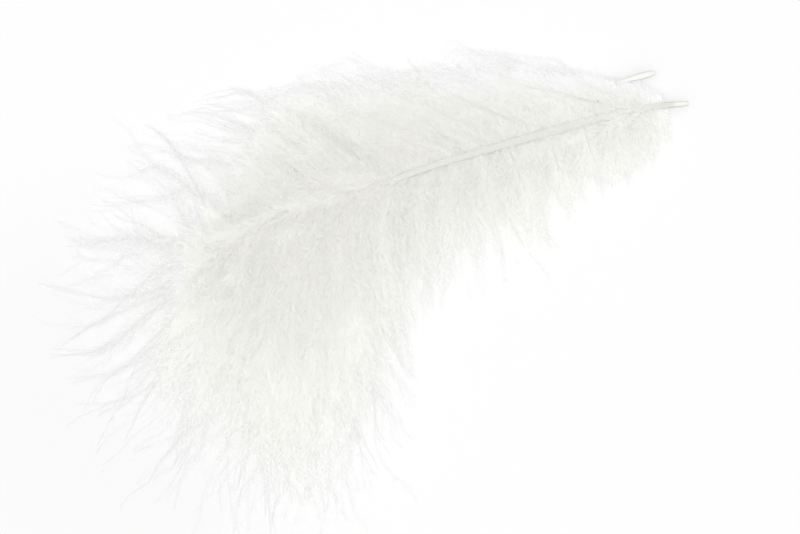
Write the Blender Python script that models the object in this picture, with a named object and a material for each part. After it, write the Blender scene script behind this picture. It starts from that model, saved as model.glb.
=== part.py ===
"""A white marabou feather lying on a surface.

The feather is one grown piece: a curved shaft, bare at its quill end, with locks of down
fused to it on both sides, a fan of long locks past its tip and a few that lie over it.

Metres, +Z up. The feather lies in the XY plane with its quill end towards +X and its
longest down towards -X and -Y. The origin is the bottom centre of its box.
"""

import math

import bmesh
import bpy
import numpy as np

MM = 0.001

# Centre line of the shaft, from the quill end to the tip, as x, y, z in millimetres.
SHAFT_ROUTE = (
    (48.2, 27.7, 0.9),
    (41.5, 27.0, 2.2),
    (33.3, 25.3, 3.9),
    (20.0, 21.2, 5.9),
    (6.7, 17.2, 6.8),
    (-4.2, 13.4, 6.9),
    (-18.8, 9.1, 6.3),
    (-27.5, 3.3, 5.4),
    (-32.5, -2.5, 4.6),
)
# Radius of the shaft in millimetres at each share of its length.
SHAFT_RADIUS = ((0.0, 0.32), (0.05, 0.5), (0.22, 0.78), (0.45, 0.6), (0.7, 0.36), (1.0, 0.14))
STEPS_A_SPAN = 24
SHAFT_RINGS = 26
SHAFT_SIDES = 8
HEADING_SPAN = 0.02  # share of the shaft's length over which its direction is taken

# The middle of the finished feather's box in the frame of SHAFT_ROUTE, in millimetres.
BOX_MIDDLE = (-6.04, -5.85)

# Down on each side of the shaft: share of the shaft's length at the root, length in
# millimetres from root to tip, and degrees between that line and the shaft.
UPPER_DOWN = (
    (0.05, 3.5, 78),
    (0.10, 8.0, 62),
    (0.20, 16.0, 58),
    (0.30, 22.0, 56),
    (0.40, 26.5, 52),
    (0.50, 32.0, 45),
    (0.60, 35.0, 43),
    (0.70, 34.5, 40),
    (0.80, 34.5, 34),
    (0.90, 34.0, 30),
    (1.00, 32.0, 20),
)
LOWER_DOWN = (
    (0.05, 6.5, 108),
    (0.10, 10.0, 92),
    (0.20, 14.5, 78),
    (0.30, 20.0, 70),
    (0.40, 24.5, 72),
    (0.50, 30.0, 72),
    (0.60, 39.0, 75),
    (0.70, 47.0, 76),
    (0.80, 53.0, 68),
    (0.90, 49.0, 46),
    (1.00, 37.0, 18),
)
FIRST_ROOT = 0.055
LOCKS_A_SIDE = 31
LENGTH_VARIES = 0.08  # share of a lock's length
SWEEP_VARIES = 4  # degrees
END_CROWDING = 0.25  # how much closer together the locks grow at both ends of the shaft
FAN_SWEEPS = (-14, -5, 4, 13)
FAN_ROOT = 0.99
FAN_LENGTH = 35.0

# Locks that rise from the shaft's far half and lie over it: the share of the shaft's length at
# the root, and degrees from the shaft.
COVER_LOCKS = (
    (0.52, 14),
    (0.58, -20),
    (0.63, 28),
    (0.68, -10),
    (0.73, 38),
    (0.78, -30),
    (0.84, 24),
    (0.90, -4),
)
COVER_LENGTH = 27.0
COVER_HEIGHTS = (14.5, 6.5)  # millimetres, of the point that it bends towards and of its tip

# A bare barb near the quill that is bent back towards the cut end: the share of the shaft's
# length at its root, its bend and end as x, y, z in millimetres, and its thickness along it.
STRAY_ROOT = 0.12
STRAY_BEND = (35.5, 31.2, 6.4)
STRAY_END = (42.5, 32.5, 6.0)
STRAY_WIDTHS = (0.5, 0.42, 0.42, 0.5, 0.7, 0.4)

# A lock's shape: share of its length, and share of its full width and thickness there.
LOCK_PROFILE = (
    (0.0, 0.45, 0.45),
    (0.2, 0.8, 0.85),
    (0.45, 1.0, 1.0),
    (0.7, 0.88, 0.85),
    (0.88, 0.55, 0.55),
)
LOCK_SIDES = 6
LEAVES_AT = 0.55  # share of the sweep at which a lock leaves the shaft, before it bends out
BEND_AT = 0.45  # share of its length at which it bends
LOCK_WIDTH = (3.4, 9.0)  # millimetres, on the shortest and on the longest lock
LOCK_THICKNESS = (1.3, 2.7)
LONGEST_LOCK = 50.0
# Heights in millimetres of the point that a lock bends towards and of its tip, by layer. The
# locks of the low layer lie on the surface.
LAYERS = ((1.2, 0.2), (6.6, 2.8), (3.6, 1.2), (9.6, 4.8))
TABLE_SIZE = 0.3  # metres
SEED = 5
LENGTH_SALT = 10
SWEEP_SALT = 20

DOWN_COLOUR = (0.9, 0.9, 0.87, 1.0)
DOWN_ROUGHNESS = 0.8


def clear_scene():
    for obj in list(bpy.data.objects):
        bpy.data.objects.remove(obj)


def jitter(number, salt):
    """A fixed number from -1 to 1 for each lock, in place of a random one."""
    return np.random.default_rng((SEED, number, salt)).uniform(-1, 1)


def smooth_path(points):
    """A Catmull-Rom curve through the points, as an array of closely spaced points."""
    p = np.array(points, float)
    p = np.vstack([2 * p[0] - p[1], p, 2 * p[-1] - p[-2]])
    t = np.linspace(0, 1, STEPS_A_SPAN, endpoint=False)[:, None]
    spans = []
    for a, b, c, d in zip(p, p[1:], p[2:], p[3:]):
        cubic = -a + 3 * b - 3 * c + d
        square = 2 * a - 5 * b + 4 * c - d
        spans.append(0.5 * (2 * b + (c - a) * t + square * t**2 + cubic * t**3))
    return np.vstack([*spans, p[-2]])


SHAFT_CURVE = smooth_path(SHAFT_ROUTE)
SHAFT_ALONG = np.concatenate([[0], np.cumsum(np.linalg.norm(np.diff(SHAFT_CURVE, axis=0), axis=1))])
SHAFT_ALONG /= SHAFT_ALONG[-1]


def on_shaft(share):
    """The shaft's centre at a share of its length, in millimetres."""
    return np.array([np.interp(share, SHAFT_ALONG, axis) for axis in SHAFT_CURVE.T])


def shaft_heading(share):
    """The unit direction towards the shaft's tip, in plan."""
    way = on_shaft(min(share + HEADING_SPAN, 1.0)) - on_shaft(max(share - HEADING_SPAN, 0.0))
    return way[:2] / np.linalg.norm(way[:2])


def turned(way, degrees):
    """A plan direction turned anticlockwise."""
    c, s = math.cos(math.radians(degrees)), math.sin(math.radians(degrees))
    return np.array([c * way[0] - s * way[1], s * way[0] + c * way[1]])


def between(low_high, share):
    return low_high[0] + (low_high[1] - low_high[0]) * share


def tube(name, centres, half_widths, half_heights, sides, pointed):
    """A closed tube of oval rings round a centre line in millimetres, with a flat or pointed end."""
    centres = np.array(centres, float)
    along = np.gradient(centres, axis=0)
    along /= np.linalg.norm(along, axis=1)[:, None]
    across = np.cross(along, (0, 0, 1))
    across /= np.linalg.norm(across, axis=1)[:, None]
    up = np.cross(across, along)
    turn = np.arange(sides) * 2 * math.pi / sides
    rings = len(centres) - (1 if pointed else 0)
    corners = [
        centres[i] + half_widths[i] * math.cos(a) * across[i] + half_heights[i] * math.sin(a) * up[i]
        for i in range(rings)
        for a in turn
    ]
    faces = [tuple(range(sides))]
    for i in range(rings - 1):
        for k in range(sides):
            j = (k + 1) % sides
            a, b = i * sides, (i + 1) * sides
            faces.append((a + j, a + k, b + k, b + j))
    last = (rings - 1) * sides
    if pointed:
        corners.append(centres[-1])
        faces += [(last + (k + 1) % sides, last + k, rings * sides) for k in range(sides)]
    else:
        faces.append(tuple(last + k for k in reversed(range(sides))))
    offset = np.array([*BOX_MIDDLE, 0.0])
    mesh = bpy.data.meshes.new(name)
    mesh.from_pydata([tuple((np.array(c) - offset) * MM) for c in corners], [], faces)
    mesh.validate()
    obj = bpy.data.objects.new(name, mesh)
    bpy.context.scene.collection.objects.link(obj)
    return obj


def make_shaft():
    """The shaft, from the cut of the quill to the fine tip that the fan hides."""
    shares = np.linspace(0, 1, SHAFT_RINGS)
    radii = np.interp(shares, *np.array(SHAFT_RADIUS).T)
    return tube("feather", [on_shaft(s) for s in shares], radii, radii, SHAFT_SIDES, False)


def bent_line(start, bend, end, shares):
    """Points on the curve that leaves start towards bend and arrives at end."""
    t = np.array(shares)[:, None]
    return (1 - t) ** 2 * np.array(start) + 2 * t * (1 - t) * np.array(bend) + t**2 * np.array(end)


def make_lock(name, root, sweep, length, heights):
    """One pointed lock of down, broad and flat. Its root is inside the shaft and it bends outwards."""
    start = on_shaft(root)
    heading = shaft_heading(root)
    bend = (*(start[:2] + length * BEND_AT * turned(heading, sweep * LEAVES_AT)), heights[0])
    tip = (*(start[:2] + length * turned(heading, sweep)), heights[1])
    size = min(length / LONGEST_LOCK, 1.0)
    shares, widths, thicknesses = np.array(LOCK_PROFILE).T
    centres = bent_line(start, bend, tip, [*shares, 1.0])
    half_width = between(LOCK_WIDTH, size) / 2
    half_height = between(LOCK_THICKNESS, size) / 2
    return tube(name, centres, widths * half_width, thicknesses * half_height, LOCK_SIDES, True)


def side_locks(side, down):
    """The locks along one side of the shaft. side is -1 above it in plan and 1 below it."""
    shares, lengths, sweeps = np.array(down).T
    for number in range(LOCKS_A_SIDE):
        even = number / (LOCKS_A_SIDE - 1)
        crowded = even - END_CROWDING * math.sin(2 * math.pi * even) / (2 * math.pi)
        root = FIRST_ROOT + (1 - FIRST_ROOT) * crowded
        length = np.interp(root, shares, lengths) * (1 + LENGTH_VARIES * jitter(number, LENGTH_SALT + side))
        sweep = np.interp(root, shares, sweeps) + SWEEP_VARIES * jitter(number, SWEEP_SALT + side)
        layer = LAYERS[number % len(LAYERS)]
        yield make_lock(f"lock_{side}_{number}", root, side * sweep, length, layer)


def make_stray_barb():
    radii = np.array(STRAY_WIDTHS) / 2
    centres = bent_line(on_shaft(STRAY_ROOT), STRAY_BEND, STRAY_END, np.linspace(0, 1, len(radii)))
    return tube("stray_barb", centres, radii, radii, LOCK_SIDES, False)


def make_locks():
    locks = [*side_locks(-1, UPPER_DOWN), *side_locks(1, LOWER_DOWN)]
    for number, sweep in enumerate(FAN_SWEEPS):
        locks.append(make_lock(f"fan_{number}", FAN_ROOT, sweep, FAN_LENGTH, LAYERS[number]))
    for number, (root, sweep) in enumerate(COVER_LOCKS):
        locks.append(make_lock(f"cover_{number}", root, sweep, COVER_LENGTH, COVER_HEIGHTS))
    locks.append(make_stray_barb())
    return locks


def make_table():
    """A block under the feather. What reaches into it is pressed flat on the surface."""
    half = TABLE_SIZE / 2
    corners = [(x, y, z) for z in (-half, 0) for y in (-half, half) for x in (-half, half)]
    faces = [(0, 2, 3, 1), (4, 5, 7, 6), (0, 1, 5, 4), (2, 6, 7, 3), (0, 4, 6, 2), (1, 3, 7, 5)]
    mesh = bpy.data.meshes.new("table")
    mesh.from_pydata(corners, [], faces)
    table = bpy.data.objects.new("table", mesh)
    bpy.context.scene.collection.objects.link(table)
    return table


def as_helper(obj):
    obj.hide_render = True
    obj.display_type = "WIRE"


def fuse(feather, locks):
    """Joins the locks to the shaft and to each other with one union."""
    group = bpy.data.collections.new("locks")
    bpy.context.scene.collection.children.link(group)
    for lock in locks:
        bpy.context.scene.collection.objects.unlink(lock)
        group.objects.link(lock)
        as_helper(lock)
    union = feather.modifiers.new("locks", "BOOLEAN")
    union.operation = "UNION"
    union.operand_type = "COLLECTION"
    union.collection = group
    union.solver = "EXACT"


def press_flat(feather, table):
    as_helper(table)
    cut = feather.modifiers.new("surface", "BOOLEAN")
    cut.operation = "DIFFERENCE"
    cut.object = table
    cut.solver = "EXACT"


def drop_specks(feather):
    """Applies the modifiers and keeps the largest shell. Overlapping locks can leave a speck inside."""
    graph = bpy.context.evaluated_depsgraph_get()
    solid = bpy.data.meshes.new_from_object(feather.evaluated_get(graph))
    feather.modifiers.clear()
    feather.data = solid
    surface = bmesh.new()
    surface.from_mesh(solid)
    unseen = set(surface.verts)
    shells = []
    while unseen:
        waiting = [unseen.pop()]
        shell = set(waiting)
        while waiting:
            neighbours = {edge.other_vert(vert) for vert in waiting for edge in vert.link_edges}
            waiting = list(neighbours - shell)
            shell |= neighbours
        unseen -= shell
        shells.append(shell)
    largest = max(shells, key=len)
    specks = [vert for vert in surface.verts if vert not in largest]
    bmesh.ops.delete(surface, geom=specks, context="VERTS")
    surface.to_mesh(solid)
    surface.free()


def down_material():
    material = bpy.data.materials.new("down")
    material.use_nodes = True
    shader = material.node_tree.nodes["Principled BSDF"]
    shader.inputs["Base Color"].default_value = DOWN_COLOUR
    shader.inputs["Roughness"].default_value = DOWN_ROUGHNESS
    return material


def main():
    clear_scene()
    feather = make_shaft()
    feather.data.materials.append(down_material())
    fuse(feather, make_locks())
    press_flat(feather, make_table())
    drop_specks(feather)


main()
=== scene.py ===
"""A white marabou feather lying on a pale floor, drawn strand by strand.

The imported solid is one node, feather. Here it is replaced by the shaft and by the down that
grows from it: hair-thin barbs, each with hundreds of finer barbules, all as mesh.

The curves are worked out in millimetres in the frame of SHAFT_ROUTE. BOX_MIDDLE then moves
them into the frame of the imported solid, in metres.
"""

import math

import bpy
import numpy as np
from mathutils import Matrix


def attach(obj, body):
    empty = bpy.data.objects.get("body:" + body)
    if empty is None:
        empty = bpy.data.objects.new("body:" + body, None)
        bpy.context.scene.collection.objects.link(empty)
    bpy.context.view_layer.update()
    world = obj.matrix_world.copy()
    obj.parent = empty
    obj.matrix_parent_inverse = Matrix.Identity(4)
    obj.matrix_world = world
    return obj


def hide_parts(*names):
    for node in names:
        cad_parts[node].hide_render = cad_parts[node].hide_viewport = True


bl_info = {
    "name": "Marabou feather",
    "version": (1, 0, 0),
    "blender": (4, 5, 0),
    "location": "3D View > Sidebar > Feather",
    "description": "Builds a marabou feather with its shaft, barbs and barbules as mesh",
    "category": "Add Mesh",
}

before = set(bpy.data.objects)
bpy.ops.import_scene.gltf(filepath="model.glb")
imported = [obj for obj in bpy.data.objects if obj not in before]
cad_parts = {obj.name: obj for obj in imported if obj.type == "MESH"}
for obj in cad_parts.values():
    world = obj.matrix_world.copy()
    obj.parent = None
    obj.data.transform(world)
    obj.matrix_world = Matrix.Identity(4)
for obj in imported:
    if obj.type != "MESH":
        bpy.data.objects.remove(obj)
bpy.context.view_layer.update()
MM = 0.001

# The shaft and the outline of the down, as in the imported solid.
BOX_MIDDLE = np.array((-6.04, -5.85, 0.0))
SHAFT_ROUTE = (
    (48.2, 27.4, 0.9),
    (41.5, 26.7, 2.2),
    (33.3, 24.9, 3.9),
    (20.0, 21.1, 5.9),
    (6.7, 17.2, 6.8),
    (-4.2, 13.4, 6.9),
    (-18.8, 9.1, 6.3),
    (-27.5, 3.3, 5.4),
    (-32.5, -2.5, 4.6),
)
# Share of the shaft's length, and its radius there in millimetres.
SHAFT_RADIUS = ((0.0, 0.32), (0.05, 0.5), (0.22, 0.78), (0.45, 0.6), (0.7, 0.36), (1.0, 0.14))
# A bare barb beside the quill: its root's share of the shaft's length, and the way it takes.
STRAY_ROOT = 0.14
STRAY_BEND = (35.2, 30.0, 2.0)
STRAY_END = (42.7, 32.6, 1.2)
STRAY_RADIUS = ((0.0, 0.2), (0.4, 0.22), (0.75, 0.34), (0.88, 0.5), (0.96, 0.42), (1.0, 0.16))
STRAY_STEPS = 40
STRAY_SIDES = 14
STRAY_FLATNESS = 0.25
# Where the barbs of each side end: share of the shaft's length at the root, X and Y of the tip,
# and degrees by which a barb leaves the shaft turned from its straight line to the tip.
UPPER_TIPS = (
    (0.050, 41.7, 30.5, 0),
    (0.055, 37.5, 31.7, -4),
    (0.070, 30.8, 33.5, -6),
    (0.090, 24.2, 34.5, -6),
    (0.110, 17.5, 35.3, -6),
    (0.140, 10.3, 36.2, -8),
    (0.180, 4.2, 36.8, -8),
    (0.240, -1.7, 36.8, -10),
    (0.310, -9.2, 34.8, -12),
    (0.390, -16.7, 31.8, -14),
    (0.490, -25.0, 29.8, -16),
    (0.600, -35.0, 28.2, -18),
    (0.720, -41.7, 23.7, -18),
    (0.850, -48.0, 17.0, -14),
    (1.000, -52.5, 11.2, -8),
)
LOWER_TIPS = (
    (0.050, 46.3, 22.5, -25),
    (0.055, 44.7, 19.5, -15),
    (0.065, 41.7, 16.8, -5),
    (0.085, 39.3, 14.4, 0),
    (0.120, 35.8, 11.8, -6),
    (0.160, 32.6, 10.4, -10),
    (0.200, 29.8, 7.8, -14),
    (0.250, 26.6, 3.8, -18),
    (0.300, 22.0, 0.8, -18),
    (0.350, 17.5, 0.5, -14),
    (0.400, 15.0, -2.2, -18),
    (0.450, 11.7, -5.5, -20),
    (0.500, 7.5, -8.0, -20),
    (0.550, 5.7, -12.2, -24),
    (0.600, 4.2, -17.2, -28),
    (0.640, 1.3, -24.0, -28),
    (0.670, -0.3, -32.2, -22),
    (0.700, -4.7, -40.2, -10),
    (0.725, -11.7, -45.5, -2),
    (0.750, -21.7, -45.0, 8),
    (0.775, -32.5, -40.7, 20),
    (0.805, -45.0, -35.2, 30),
    (0.860, -53.0, -29.5, 32),
    (0.930, -56.5, -20.5, 24),
    (1.000, -57.5, -12.0, 10),
)
FAN_TIPS = (
    (0.80, -35.0, -44.0, 14),
    (0.82, -43.0, -40.0, 20),
    (0.86, -50.0, -34.0, 20),
    (0.90, -54.5, -26.0, 18),
    (0.93, -57.0, -17.0, 12),
    (0.96, -57.5, -7.0, 6),
    (0.98, -56.5, 3.0, -2),
    (1.00, -54.5, 11.0, -8),
    (0.98, -50.5, 18.0, -12),
    (0.93, -45.0, 24.5, -16),
)
BUNDLE_TIPS = (
    (0.69, 3.5, -26.0, -30),
    (0.71, 1.0, -32.0, -24),
    (0.73, -4.0, -38.0, -16),
    (0.74, -9.0, -44.0, -8),
    (0.75, -15.0, -47.0, -2),
    (0.76, -22.0, -47.0, 4),
    (0.78, -30.0, -45.0, 12),
    (0.80, -38.0, -40.5, 18),
)

# Strands that stand out: the root's share of the shaft's length, how many barbs run together,
# how far they part at the end, the height of their arch, and the points they pass in plan.
PLACED_STRANDS = (
    (0.98, 2, 1.6, 1.6, ((-36.2, 2.2), (-45.7, -5.2), (-49.2, -8.2), (-56.2, -13.0), (-59.5, -15.6))),
    (1.00, 2, 1.2, 1.2, ((-47.5, -5.2), (-53.7, -4.3), (-61.5, -2.5))),
    (0.97, 4, 2.4, 1.8, ((-36.7, 4.4), (-47.5, 4.7), (-56.2, 4.0))),
    (0.97, 2, 1.4, 1.6, ((-42.3, 4.0), (-48.0, 0.2), (-54.0, -3.3))),
    (0.93, 3, 2.2, 1.8, ((-33.5, 12.9), (-38.8, 11.8), (-46.2, 10.8), (-51.8, 11.4))),
    (0.96, 2, 0.8, 1.4, ((-42.0, 4.5), (-47.0, 5.8), (-50.5, 10.2))),
    (0.90, 3, 1.8, 1.8, ((-38.8, 16.0), (-44.0, 15.3), (-47.5, 15.8))),
    (0.93, 4, 0.5, 2.2, ((-34.8, 14.9), (-38.8, 21.0), (-43.6, 24.5))),
    (0.62, 3, 2.0, 2.6, ((-23.5, 28.2), (-28.7, 28.8), (-32.7, 28.2), (-36.2, 26.8))),
    (0.68, 3, 2.0, 2.6, ((-23.5, 22.4), (-30.5, 23.6), (-36.2, 25.0))),
    (0.74, 3, 2.0, 2.4, ((-27.0, 18.6), (-33.5, 19.6), (-39.5, 21.6))),
    (0.65, 4, 2.6, 2.6, ((-21.5, 25.4), (-28.5, 26.4), (-37.0, 27.0))),
    (0.70, 4, 2.4, 2.4, ((-21.0, 20.6), (-27.5, 22.4), (-34.0, 25.2))),
    (0.72, 4, 2.6, 2.4, ((-24.5, 19.8), (-31.5, 21.6), (-38.5, 24.0))),
    (0.78, 4, 2.4, 2.2, ((-28.0, 16.6), (-35.0, 18.0), (-42.5, 19.2))),
    (0.99, 3, 2.0, 1.4, ((-41.7, -7.5), (-49.3, -13.6), (-58.8, -14.7), (-61.0, -16.8))),
    (0.95, 2, 1.8, 1.4, ((-43.0, -14.0), (-50.2, -20.0), (-53.7, -26.5))),
    (0.92, 2, 1.6, 1.2, ((-41.5, -17.0), (-48.8, -26.3), (-50.5, -30.6))),
    (0.90, 2, 2.0, 1.2, ((-40.5, -18.5), (-45.5, -28.0), (-48.0, -33.0))),
    (0.86, 2, 1.2, 1.2, ((-36.0, -24.0), (-36.7, -30.8), (-37.6, -36.5))),
    (0.84, 3, 2.4, 1.4, ((-34.0, -24.7), (-36.7, -32.5), (-41.0, -38.5))),
    (0.80, 4, 1.8, 1.8, ((-25.5, -29.0), (-26.7, -35.2), (-29.7, -45.0))),
    (0.78, 4, 2.0, 1.8, ((-22.3, -26.0), (-22.5, -36.0), (-21.2, -48.5))),
    (0.76, 4, 1.6, 1.8, ((-19.7, -24.0), (-18.9, -36.0), (-17.6, -46.5))),
    (0.74, 5, 2.0, 1.8, ((-15.7, -23.8), (-14.0, -31.0), (-11.0, -46.5))),
    (0.71, 5, 2.6, 1.6, ((-8.3, -22.5), (-6.6, -29.0), (-3.1, -37.0))),
    (0.68, 5, 2.4, 1.4, ((-5.4, -17.5), (-2.6, -22.5), (0.3, -26.3))),
    (0.66, 3, 2.0, 1.2, ((-4.5, -24.0), (-3.0, -29.5), (-0.5, -33.5))),
    (0.62, 4, 1.8, 1.2, ((-0.5, -13.5), (2.2, -20.5))),
    (0.42, 6, 1.0, -2.4, ((19.6, 5.6), (23.2, 0.6), (26.0, -3.2))),
    (0.10, 3, 1.4, 1.4, ((42.0, 20.6), (42.2, 15.2))),
    (0.15, 4, 2.0, 1.6, ((37.6, 17.8), (39.0, 13.0))),
    (0.21, 4, 2.0, 1.6, ((33.2, 15.0), (34.6, 9.4))),
    (0.28, 4, 2.0, 1.6, ((28.2, 11.6), (30.0, 6.0))),
    (0.36, 4, 2.0, 1.6, ((23.0, 8.0), (26.4, 2.4))),
)
# Pointed tufts along the upper rim, given in the same way.
RIM_TUFTS = (
    (0.08, 4, 0.8, 1.0, ((28.7, 31.3), (26.3, 34.0))),
    (0.10, 4, 0.8, 1.0, ((23.3, 32.3), (19.8, 35.5))),
    (0.12, 4, 1.0, 1.2, ((17.5, 32.3), (13.8, 36.0))),
    (0.16, 4, 1.0, 1.2, ((12.7, 32.3), (6.7, 36.0))),
    (0.21, 5, 1.0, 1.2, ((4.8, 31.7), (0.7, 37.4))),
    (0.25, 4, 0.9, 1.2, ((2.5, 31.0), (-1.4, 34.8))),
    (0.31, 4, 1.0, 1.2, ((-4.2, 31.2), (-9.2, 34.2))),
    (0.37, 4, 1.0, 1.2, ((-9.5, 28.7), (-12.7, 32.1))),
    (0.41, 4, 1.0, 1.2, ((-12.5, 29.4), (-18.2, 32.6))),
    (0.46, 4, 1.0, 1.2, ((-17.3, 27.8), (-22.9, 30.9))),
)
# Bare barbs that show dark: as above, but the arch is the height of their highest part.
BARE_STRANDS = (
    (0.06, 4, 3.6, 8.0, ((33.3, 27.3), (21.0, 30.3), (16.7, 31.5))),
    (0.10, 3, 2.6, 7.4, ((38.0, 27.8), (31.7, 30.0), (27.7, 31.2))),
    (0.30, 3, 4.0, 8.2, ((17.7, 24.7), (10.0, 27.8), (6.3, 28.8))),
    (0.86, 1, 0.0, 5.0, ((-30.2, 15.8), (-30.0, 21.5))),
    (0.10, 1, 0.0, 4.0, ((42.0, 22.0), (40.8, 17.3), (40.2, 14.5))),
    (1.00, 1, 0.0, 4.0, ((-41.7, -5.5), (-49.7, -9.0), (-59.0, -14.2))),
)
# A dark length of barb that lies over the down near the shaft's tip.
DARK_DASH = ((-18.3, 9.3, 9.4), (-19.6, 8.9, 9.9), (-21.8, 7.7, 9.6))
DASH_RADIUS = 0.2
# Specks of dirt held in the down: their middles and their radii in millimetres.
SPECKS = ((32.8, 27.5, 8.0), (14.0, 24.0, 7.8), (-13.7, -10.3, 6.6))
SPECK_RADII = (0.15, 0.1, 0.09)

# Outline of the dense down. Past it barbs carry few barbules, and most of them end there.
DENSE_RIM = (
    (44.2, 27.5),
    (40.0, 30.2),
    (36.5, 29.8),
    (32.0, 32.0),
    (29.0, 31.8),
    (26.3, 33.8),
    (25.8, 31.4),
    (23.5, 32.3),
    (19.8, 35.2),
    (19.4, 32.0),
    (17.5, 32.5),
    (13.8, 35.4),
    (13.3, 31.8),
    (12.0, 32.4),
    (6.9, 35.6),
    (6.6, 31.6),
    (4.8, 32.5),
    (0.9, 36.8),
    (1.0, 32.4),
    (-1.2, 34.4),
    (-1.6, 31.2),
    (-4.2, 31.6),
    (-9.0, 33.8),
    (-8.5, 30.4),
    (-9.7, 29.4),
    (-12.6, 31.6),
    (-12.0, 28.7),
    (-17.9, 32.1),
    (-16.8, 28.0),
    (-22.7, 30.3),
    (-20.3, 25.8),
    (-23.0, 23.7),
    (-23.0, 19.8),
    (-26.7, 15.7),
    (-29.3, 10.5),
    (-34.0, 6.2),
    (-35.0, 0.3),
    (-36.5, -5.7),
    (-39.0, -10.8),
    (-40.2, -17.5),
    (-38.6, -22.6),
    (-34.6, -20.6),
    (-35.0, -26.6),
    (-31.6, -23.0),
    (-28.6, -31.0),
    (-26.6, -24.6),
    (-26.0, -32.0),
    (-24.0, -25.0),
    (-22.8, -34.0),
    (-20.8, -27.0),
    (-18.3, -41.3),
    (-17.0, -33.0),
    (-13.7, -40.8),
    (-13.0, -28.8),
    (-11.0, -33.8),
    (-10.8, -25.0),
    (-6.2, -25.0),
    (-7.0, -20.5),
    (-2.2, -19.5),
    (-3.0, -15.8),
    (2.2, -13.6),
    (2.5, -10.5),
    (6.7, -9.7),
    (6.7, -6.3),
    (13.0, -5.8),
    (13.3, -2.5),
    (21.7, -0.8),
    (20.8, 2.5),
    (25.6, 3.4),
    (24.9, 6.6),
    (29.4, 6.8),
    (29.0, 10.2),
    (33.8, 10.2),
    (33.4, 12.9),
    (38.2, 13.4),
    (37.6, 16.0),
    (41.0, 16.0),
    (42.5, 19.5),
    (44.7, 22.3),
)
# Patches where the down is thinner: middle, radius and how much thinner.
THIN_PATCHES = (
    (26.0, 33.0, 4.5, 0.35),
    (10.0, 34.0, 6.0, 0.35),
    (-6.0, 32.0, 5.0, 0.3),
    (31.0, 11.0, 5.0, 0.5),
    (20.5, 3.0, 5.5, 0.65),
    (12.5, -2.5, 5.5, 0.72),
    (5.0, -8.5, 5.5, 0.72),
    (-3.5, -17.0, 7.5, 0.65),
    (-22.0, -24.0, 8.0, 0.3),
    (-37.0, -12.0, 7.0, 0.3),
)
# Share of the shaft's length at the root, and share of the barbs there that run on past the rim.
UPPER_LONG = ((0.0, 0.05), (0.3, 0.1), (0.45, 0.4), (0.62, 0.45), (0.8, 0.2), (1.0, 0.15))
LOWER_LONG = ((0.0, 0.06), (0.55, 0.08), (0.66, 0.18), (0.78, 0.2), (0.88, 0.15), (1.0, 0.12))
RIM_SHIFT = 0.3
RIM_FADE = 0.75
# Slow bends that neighbouring barbs share: wavelength, direction in degrees and phase of each
# wave in plan, and how far it moves a tip.
FLOW_WAVES = ((31.0, 20, 0.3, 1.1), (22.0, 95, 0.7, 0.8), (15.0, 150, 0.1, 0.6), (11.0, 60, 0.5, 0.4))

# Painted shadow of the down on the floor, where the floor is a little greyer: its middle, and the distances within
# which that fades out.
PAINTED_FLOOR_SHADOW = (-43.0, -21.0, 14.0, 48.0)

BARB_RINGS = 22
BARB_SIDES = 3
SHAFT_RINGS = 260
SHAFT_SIDES = 28
SHAFT_FLATNESS = 0.62

# Name of the UV map whose U runs along a barb and whose V tells the barbs apart. Barbs use
# the lower half of V and barbules the upper half.
STRAND_MAP = "OFBake"


class DownSettings(bpy.types.PropertyGroup):
    seed: bpy.props.IntProperty(
        name="Seed", description="Number that fixes every varied strand", default=11, min=0
    )
    barb_width: bpy.props.FloatProperty(
        name="Barb width",
        description="Thickness of a barb at its root",
        default=0.00009,
        min=0.00001,
        precision=6,
        unit="LENGTH",
        subtype="DISTANCE",
    )
    barbule_width: bpy.props.FloatProperty(
        name="Barbule width",
        description="Width of a barbule at its widest",
        default=0.000036,
        min=0.000005,
        precision=6,
        unit="LENGTH",
        subtype="DISTANCE",
    )
    barbule_length: bpy.props.FloatProperty(
        name="Barbule length",
        description="Length of the longest barbules",
        default=0.0027,
        min=0.0001,
        precision=5,
        unit="LENGTH",
        subtype="DISTANCE",
    )
    barbules_per_mm: bpy.props.FloatProperty(
        name="Barbules per millimetre",
        description="Barbules on one millimetre of a barb's thick part, both sides together",
        default=19.5,
        min=1.0,
    )
    colour: bpy.props.FloatVectorProperty(
        name="Down colour",
        description="Colour of the barbules",
        subtype="COLOR",
        default=(0.953, 0.953, 0.935),
        min=0.0,
        max=1.0,
    )
    # Painted shade: a darker, warmer colour for the thick down near the shaft.
    inner_painted_shade_colour: bpy.props.FloatVectorProperty(
        name="Inner down colour",
        description="Colour of the barbules near the shaft",
        subtype="COLOR",
        default=(0.912, 0.912, 0.884),
        min=0.0,
        max=1.0,
    )
    # Painted light: the rims are paler than the thick down, the upper one tinted cool and the lower one warm, as if
    # lit by cool light from one side and warm light from the other.
    upper_rim_painted_light: bpy.props.FloatVectorProperty(
        name="Upper rim colour",
        description="Colour of the barbules along the rim of the upper side",
        subtype="COLOR",
        default=(0.975, 0.977, 0.983),
        min=0.0,
        max=1.0,
    )
    lower_rim_painted_light: bpy.props.FloatVectorProperty(
        name="Lower rim colour",
        description="Colour of the barbules along the rim of the lower side",
        subtype="COLOR",
        default=(0.982, 0.983, 0.962),
        min=0.0,
        max=1.0,
    )
    outer_colour: bpy.props.FloatVectorProperty(
        name="Outer barbule colour",
        description="Colour of the sparse barbules past the rim",
        subtype="COLOR",
        default=(0.945, 0.945, 0.953),
        min=0.0,
        max=1.0,
    )
    barb_colour: bpy.props.FloatVectorProperty(
        name="Barb colour",
        description="Colour of the barbs that carry the barbules",
        subtype="COLOR",
        default=(0.955, 0.954, 0.935),
        min=0.0,
        max=1.0,
    )
    outer_barb_colour: bpy.props.FloatVectorProperty(
        name="Outer barb colour",
        description="Colour of the barbs past the rim",
        subtype="COLOR",
        default=(0.88, 0.88, 0.88),
        min=0.0,
        max=1.0,
    )


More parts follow.
